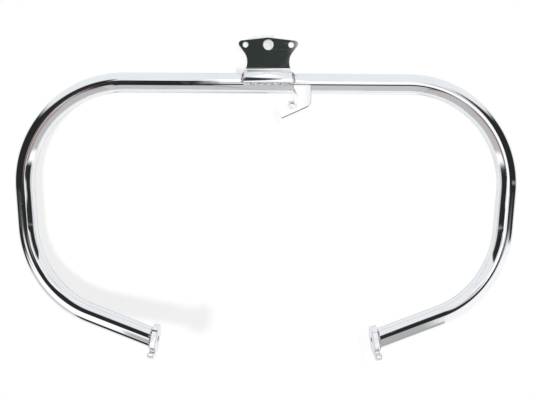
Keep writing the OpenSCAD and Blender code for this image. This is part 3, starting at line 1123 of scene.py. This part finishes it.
@dataclass
class Studio:
    """The pale backdrop and floor, the surroundings that chrome mirrors, the lamps and the camera."""

    path: TubePath
    daylight: float = 0.45
    sheet_y: float = -4 * MM
    wing_y: float = 10 * MM
    wing_left: float = -0.052
    wing_right: float = 0.009
    wing_top: float = 0.016
    below_arms: float = 0.07
    clear_below: float = -0.37
    floor_z: float = -0.60
    floor_reach: float = 3.0
    sheet_light: float = 0.59
    sheet_albedo: float = 0.32
    sheet_mirrored: float = 1.04
    sheet_grazing: tuple[float, float] = (0.35, 0.50)
    card_near: float = 0.031
    card_far: float = 6.0
    card_low: float = -3.0
    card_top: float = 2.5
    card_clear: tuple[float, float] = (0.965, 0.985)
    lens: float = 126.64
    lens_sensor: float = 36
    camera_reach: float = 50
    camera_roll: float = 0.38
    camera_place: Place = (-0.00136, -3.0088, -0.2487)
    left_lamp: Lamp = Lamp("lamp_left", (-1.1, -1, -0.44), level=0.60, spread=13)
    front_lamp: Lamp = Lamp("lamp_front", (0.28, -1, 0.25), level=0.30, spread=9)
    low_lamp: Optional[bpy.types.Object] = field(default=None, init=False)
    panels: tuple[Panel, ...] = (
        Panel("low_side_left", -90, -25, -91, -5, grey(1.30), 3.0, 2.0),
        Panel("low_side_right", 30, 181, -91, -6, grey(1.15), 3.0, 3.0),
        Panel("low_far_left", -126, -88, -91, -20, (0.78, 0.70, 0.72), 6.0, 3.0),
        Panel("low_rear_left", -181, -124, -91, -8, (0.98, 1.03, 1.02), 8.0, 4.0),
        Panel("low_dark_left", -152, -86, -57, -46.5, BLACK_CLOTH, 8.0, 1.5),
        Panel("low_middle_left", -25, -1.7, -91, -33, grey(0.67), 0.5, 1.5),
        Panel("low_middle_right", -1.7, 30, -91, -22, grey(0.67), 0.5, 1.0),
        Panel("low_edge_right", -1.7, 30, -8, -2, grey(1.20), 0.5, 0.8),
        Panel("lug_light_right", 8, 34, -40, -1.5, (1.10, 1.09, 1.16), 1.5, 1.0),
        Panel("dark_wedge_left", -118, -62, -14, -3, BLACK_CLOTH, 9.0, 3.0),
        Panel("dark_wedge_right", 78, 116, -9, -3, BLACK_CLOTH, 9.0, 1.5),
        Panel("line_right", 56, 116, 0.2, 1.8, (0.30, 0.34, 0.33), 6.0, 0.8),
        Panel("ceiling", -181, 181, 38, 91, PALE_WALL, 1.0, 5.0),
        Panel("rear_right", 122, 181, -9, 91, PALE_WALL, 8.0, 4.0),
        Panel("rear_left", -181, -124, -9, 91, PALE_WALL, 8.0, 4.0),
        Panel("screen_left", -8, -1.7, 21.5, 60, PALE_WALL, 1.5, 1.0),
        Panel("white_screen", -1.7, 25, -2, 28, grey(1.25), 0.3, 1.5),
        Panel("screen_shade", 8, 26, 16, 25, (0.62, 0.50, 0.56), 3.0, 3.0),
        Panel("screen_top", -1.7, 25, 29, 60, grey(1.02), 0.5, 1.5),
        Panel("tab_light", -2.2, 1.2, 27, 39, grey(1.55), 0.4, 2.0),
        Panel("roll_light", -1.1, 0.95, 54, 91, grey(1.40), 0.2, 4.0),
        Panel("camera_shadow", -1.6, 1.0, 2.2, 7.0, GREEN_CLOTH, 0.3, 0.8),
        Panel("window_left", -20, -6, 1, 6, (0.35, 0.27, 0.26), 3.0, 2.0),
        Panel("rear_dark_right", 169, 181, -12, 16, grey(0.05), 3.0, 3.0),
        Panel("rear_dark_left", -181, -169, -12, 16, grey(0.05), 3.0, 3.0),
    )
    rims: tuple[Rim, ...] = (
        Rim(Panel("under_right_arm", 30, 80, -70, -7, grey(0.52), 0.4), 106.5, 18.8, 70.9),
        Rim(Panel("foot_of_right_arm", 80, 140, -70, -7, grey(0.50), 0.5), 106.5, 18.8, 70.3),
        Rim(Panel("under_left_arm", -80, -30, -60, -18, grey(0.56), 0.25, 9.0), -106.5, 18.8, 71.8),
    )
    patches: tuple[Patch, ...] = (
        Patch("grey_bench", 0.06, 9.0, -9.0, -0.305, grey(0.60), soft_up=0.012),
        Patch("white_bench", -1.0, 9.0, -0.305, -0.268, grey(1.30), soft_up=0.012),
        Patch("pink_left", 0.85, 9.0, -0.60, -0.268, PINK_WALL, soft=0.3, soft_up=0.02, half=Side.LEFT),
        Patch("pink_right", 1.10, 9.0, -0.60, -0.268, PINK_WALL, soft=0.4, soft_up=0.02, half=Side.RIGHT),
        Patch("brown_bench", 2.6, 9.0, -0.80, -0.28, BROWN_CLOTH, soft=1.3, soft_up=0.03),
        Patch("far_bench", 2.8, 9.0, -9.0, -0.80, PINK_WALL, soft=1.2, soft_up=0.10),
        Patch("left_wedge", 0.15, 0.86, -0.268, -0.187, BLACK_CLOTH, 0.30, 0.09, 0.012, Side.LEFT),
        Patch("left_grey", 0.86, 1.25, -0.205, -0.10, (0.26, 0.32, 0.30), 0.20, 0.1, 0.05, Side.LEFT),
        Patch("right_wedge", 0.15, 2.3, -0.268, -0.187, BLACK_CLOTH, 0.27, 0.09, 0.015, Side.RIGHT),
        Patch("dark_band", 0.80, 9.0, -0.268, -0.205, BLACK_CLOTH, soft=0.1, soft_up=0.008),
    )
    flags: tuple[Flag, ...] = (
        Flag(
            "flag_roll", -0.50,
            (
                (-0.048, 0.085), (-0.010, 0.150), (0.026, 0.245), (0.030, 0.300), (-0.020, 0.480),
                (-0.048, 0.600),
            ),
            NAVY_CLOTH, GREEN_CLOTH, turn=0.24, soft=0.06, slant=0.70,
        ),
        Flag(
            "flag_left_lug", -0.235, ((-0.275, -0.53), (-0.195, -0.53), (-0.195, -0.41), (-0.275, -0.41)),
            grey(1.25), grey(0.40), turn=-0.497, soft=0.006, slant=0.26,
        ),
    )

    def surroundings(self) -> None:
        """Make the world: white to the camera, even to matt surfaces, and a studio of panels to mirrors."""
        world = bpy.data.worlds.new("studio")
        bpy.context.scene.world = world
        world.use_nodes = True
        world.node_tree.nodes.clear()
        graph = Graph(world.node_tree)
        way = graph.out("ShaderNodeTexCoord", output="Generated")
        x, y, z = graph.axes(way)
        azimuth = graph.math("DEGREES", graph.math("ARCTAN2", x, graph.math("MULTIPLY", y, -1.0)))
        elevation = graph.math("DEGREES", graph.math("ARCSINE", z))

        def box(panel: Panel) -> Socket:
            """Return a mask that is 1 inside a panel."""
            across = graph.within(azimuth, panel.left, panel.right, panel.soft)
            up = graph.within(elevation, panel.low, panel.high, panel.soft_up)
            return graph.math("MULTIPLY", across, up)

        room: Any = rgba(BLACK_CLOTH)
        for panel in self.panels:
            room = graph.mix(box(panel), room, rgba(panel.radiance))
        for rim in self.rims:
            panel = rim.panel
            dot = graph.vector("DOT_PRODUCT", way, rim.centre(), output="Value")
            away = graph.math("DEGREES", graph.math("ARCCOSINE", dot))
            past = graph.ramp(away, rim.beyond - panel.soft, rim.beyond + panel.soft)
            room = graph.mix(graph.math("MULTIPLY", box(panel), past), room, rgba(panel.radiance))
        rays = graph.node("ShaderNodeLightPath").outputs
        mirrored = graph.out("ShaderNodeBackground", {"Color": room})
        even = graph.out("ShaderNodeBackground", {"Color": rgba(grey(self.daylight))})
        white = graph.out("ShaderNodeBackground", {"Color": rgba(grey(1.0))})
        lit = graph.blend(rays["Is Glossy Ray"], even, mirrored)
        graph.node("ShaderNodeOutputWorld", {"Surface": graph.blend(rays["Is Camera Ray"], lit, white)})

    @staticmethod
    def glow(graph: Graph, colour: Any, clear_from: float, clear_to: float) -> None:
        """End a card's material: it shines, and turns clear to rays that meet it with a greater slant.

        Args:
            graph: The material's nodes.
            colour: The colour's socket.
            clear_from: The slant at which it starts to turn clear.
            clear_to: The slant at which it is clear.
        """
        slant = graph.out("ShaderNodeLayerWeight", output="Facing")
        light = graph.out("ShaderNodeEmission", {"Color": colour})
        clear = graph.out("ShaderNodeBsdfTransparent")
        graph.surface(graph.blend(graph.ramp(slant, clear_from, clear_to), light, clear))

    @staticmethod
    def only_mirrored(made: bpy.types.Object) -> None:
        """Hide an object from everything but mirrors."""
        made.visible_camera = False
        made.visible_diffuse = False
        made.visible_shadow = False
        made.visible_transmission = False

    def card(self) -> None:
        """Make the card that stands in front of the arch's middle and that only mirrors see.

        Each half of the arch mirrors it on its inner side, as in the photograph. It is clear to the plate and
        the rolled edge, which face the camera and look along it.
        """
        made, graph = new_material("card_between_halves")
        _, y, height = graph.axes(graph.place())
        ahead = graph.math("MULTIPLY", y, -1.0)
        from_left = graph.out("ShaderNodeNewGeometry", output="Backfacing")
        seen_by = {Side.LEFT: from_left, Side.RIGHT: graph.math("SUBTRACT", 1.0, from_left)}
        picture: Any = rgba(PALE_WALL)
        for patch in self.patches:
            edge = graph.math("ADD", graph.math("MULTIPLY", ahead, patch.rise), patch.high)
            reach = graph.within(ahead, patch.near, patch.far, patch.soft)
            inside = graph.math("MULTIPLY", reach, graph.within(height, patch.low, edge, patch.soft_up))
            if patch.half:
                inside = graph.math("MULTIPLY", inside, seen_by[patch.half])
            picture = graph.mix(inside, picture, rgba(patch.radiance))
        self.glow(graph, picture, *self.card_clear)
        near, far, low, top = -self.card_near, -self.card_far, self.card_low, self.card_top
        corners = [(0, far, low), (0, near, low), (0, near, top), (0, far, top)]
        self.only_mirrored(self.sheet("card", corners, made))

    def small_cards(self) -> None:
        """Make the small cards near the object, each going from its lower colour to its upper one."""
        for flag in self.flags:
            made, graph = new_material(flag.name)
            high = graph.ramp(graph.axes(graph.place())[2], flag.turn - flag.soft, flag.turn + flag.soft)
            colour = graph.mix(high, rgba(flag.lower), rgba(flag.upper))
            self.glow(graph, colour, flag.slant - flag.slant_soft, flag.slant + flag.slant_soft)
            corners = [(x, flag.y, z) for x, z in flag.corners]
            self.only_mirrored(self.sheet(flag.name, corners, made))

    def backdrop_material(self) -> bpy.types.Material:
        """Make a pale material that keeps shadows and shows from its front only.

        Returns:
            The material. It returns a share of the lamps' light, has some light of its own to the camera, and
            shows in mirrors at grazing angles only.
        """
        made, graph = new_material("pale_sheet")
        matt = graph.out("ShaderNodeBsdfDiffuse", {"Color": rgba(grey(self.sheet_albedo))})
        own = graph.out("ShaderNodeEmission", {"Strength": self.sheet_light})
        reflected = graph.out("ShaderNodeEmission", {"Strength": self.sheet_mirrored})
        clear = graph.out("ShaderNodeBsdfTransparent")
        grazing = graph.ramp(graph.out("ShaderNodeLayerWeight", output="Facing"), *self.sheet_grazing)
        pale = graph.blend(grazing, clear, reflected)
        total = graph.out("ShaderNodeAddShader", {0: matt, 1: own})
        front = graph.blend(graph.out("ShaderNodeLightPath", output="Is Glossy Ray"), total, pale)
        graph.surface(graph.blend(graph.out("ShaderNodeNewGeometry", output="Backfacing"), front, clear))
        return made

    def sheet(self, name: str, corners: Sequence[Place], material: bpy.types.Material) -> bpy.types.Object:
        """Make a flat sheet of the stage.

        Args:
            name: Name of the sheet.
            corners: Its corners, anticlockwise as seen from its front.
            material: Its material.

        Returns:
            The sheet.
        """
        mesh = bpy.data.meshes.new(name)
        mesh.from_pydata(corners, [], [tuple(range(len(corners)))])
        made = object_from(mesh, name)
        made.data.materials.append(material)
        return made

    def backdrop(self) -> None:
        """Make the sheets behind the object, and the floor in front of it, which mirrors don't see.

        One sheet fills the arch, but for its part under the right arm, and a small wing stands behind the
        plate. So shadows fall inside the arch and to the plate's left, and all the rest stays clean.
        """
        y, low = self.sheet_y, self.floor_z
        pale = self.backdrop_material()
        points = list(reversed(self.path.points()))
        foot_left, foot_right = points[-1].x, points[0].x
        foot = points[0].z - self.below_arms
        arch = [(p.x, y, p.z) for p in points if p.x < foot_right or p.z > self.clear_below]
        arch += [(foot_left, y, foot), (foot_right, y, foot), (foot_right, y, self.clear_below)]
        self.sheet("backdrop", arch, pale)
        y = self.wing_y
        left, right, bottom, top = self.wing_left, self.wing_right, self.path.middle.z, self.wing_top
        self.sheet("wing", [(left, y, bottom), (right, y, bottom), (right, y, top), (left, y, top)], pale)
        far = self.floor_reach
        corners = [(-far, -far, low), (far, -far, low), (far, y, low), (-far, y, low)]
        floor = self.sheet("floor", corners, pale)
        floor.visible_glossy = False
        floor.visible_shadow = False

    def lamps(self) -> None:
        """Add the two lamps: one low on the left for the long shadows and one in front for the short ones."""
        self.low_lamp = self.left_lamp.build()
        self.front_lamp.build()

    def let_pass(self, pieces: Sequence[Piece]) -> None:
        """Let the low lamp shine through some pieces, which would shade the arch.

        Args:
            pieces: The pieces.
        """
        spared = bpy.data.collections.new("spared")
        for piece in pieces:
            spared.objects.link(piece.made)
        self.low_lamp.light_linking.blocker_collection = spared
        for item in spared.collection_objects:
            item.light_linking.link_state = "EXCLUDE"

    def camera(self) -> None:
        """Add the camera, straight in front of the arch."""
        lens = bpy.data.cameras.new("camera")
        lens.sensor_width = self.lens_sensor
        lens.lens = self.lens
        lens.clip_end = self.camera_reach
        made = bpy.data.objects.new("camera", lens)
        upright = Matrix.Rotation(math.radians(90), 4, "X")
        roll = Matrix.Rotation(math.radians(self.camera_roll), 4, "Z")
        made.matrix_world = Matrix.Translation(self.camera_place) @ upright @ roll
        bpy.context.scene.collection.objects.link(made)
        bpy.context.scene.camera = made

    def build(self) -> None:
        """Make the whole stage."""
        self.surroundings()
        self.backdrop()
        self.card()
        self.small_cards()
        self.lamps()
        self.camera()
        bpy.context.scene.view_settings.view_transform = "Standard"
        log.info("studio has %d panels and %d patches", len(self.panels), len(self.patches))


@dataclass
class Plates:
    """The flat pieces: the centre plate, the tab, its insert and the two lugs."""

    polish: bpy.types.NodeTree
    welds: Welds
    tab_heel: float = 33 * MM
    # Depth of the painted shade band along the tab's lower edge
    edge_shade_depth: float = 0.9 * MM
    insert_middle: Vector = field(default_factory=lambda: Vector((38.24, -33.62, -97.93)) * MM)
    insert_bore: float = 3.95 * MM
    plate_edge: EdgeBreak = EdgeBreak(0.9 * MM)
    tab_edge: EdgeBreak = EdgeBreak(0.8 * MM)
    insert_edge: EdgeBreak = EdgeBreak(0.25 * MM, segments=2)
    lug_edge: EdgeBreak = EdgeBreak(1.0 * MM)

    def shaded_edge_zone(self) -> PaintedShadeZone:
        """Return the zone along the tab's lower edge face, darkened as painted shade."""
        place, down = self.welds.tab_place(), self.welds.tab_down()
        heel = Vector((self.welds.tab_right, -self.tab_heel, 0))
        return PaintedShadeZone(place @ (heel - down * self.edge_shade_depth), place.to_3x3() @ down, PAINTED_EDGE_SHADE)

    def bore(self) -> PaintedShadeZone:
        """Return the threaded hole of the tab's insert, darkened inside as painted shade."""
        axis = self.welds.tab_place().to_3x3() @ Vector((0, 0, 1))
        return PaintedShadeZone(self.insert_middle, axis, SHADED_BORE, self.insert_bore)

    def build(self) -> list[Piece]:
        """Make the flat pieces.

        Returns:
            The pieces.
        """
        lug_chrome = LUG_FINISH.material(self.polish)
        plate = self.plate_edge.copy_of("centre_plate", "plate", PLATE_FINISH.material(self.polish))
        tab_chrome = TAB_FINISH.material(self.polish, self.shaded_edge_zone())
        tab = self.tab_edge.copy_of("tab_bracket", "tab", tab_chrome)
        insert_zinc = INSERT_FINISH.material(self.polish, self.bore())
        insert = self.insert_edge.copy_of("tab_insert", "insert", insert_zinc)
        pieces = [
            Piece(plate, ["centre_plate"], Slot.PLATE),
            Piece(tab, ["tab_bracket"], Slot.TAB),
            Piece(insert, ["tab_insert"], Slot.INSERT),
        ]
        for side in Side:
            word = side.name.lower()
            lug = self.lug_edge.copy_of(f"{word}_end_lug", f"{word}_lug", lug_chrome)
            pieces.append(Piece(lug, [f"{word}_end_lug"], Slot.LUG))
        return pieces


TUBE_MIDDLE = Vector((-2.5, -8.8, -62.2)) * MM


def main() -> None:
    """Build the stage and every piece in order."""
    logging.basicConfig(level=logging.INFO, format="%(name)s: %(message)s")
    path = TubePath(TUBE_MIDDLE)
    studio = Studio(path)
    studio.build()
    polish = make_polish_group()
    tube = BentTube(path, LugPlane(path))
    Piece(tube.build(make_sweep_tree(), TUBE_FINISH.material(polish)), ["main_tube"], Slot.TUBE).place()
    ripples = make_bead_tree()
    weld_chrome = WELD_FINISH.material(polish)
    welds = Welds(tube)
    for bead in welds.all():
        Piece(bead.build(ripples, weld_chrome), [bead.node], Slot.WELD).place()
    flat = Plates(polish, welds).build()
    for piece in flat:
        piece.place()
    studio.let_pass([piece for piece in flat if piece.slot in (Slot.TAB, Slot.INSERT)])


if __name__ == "__main__":
    main()
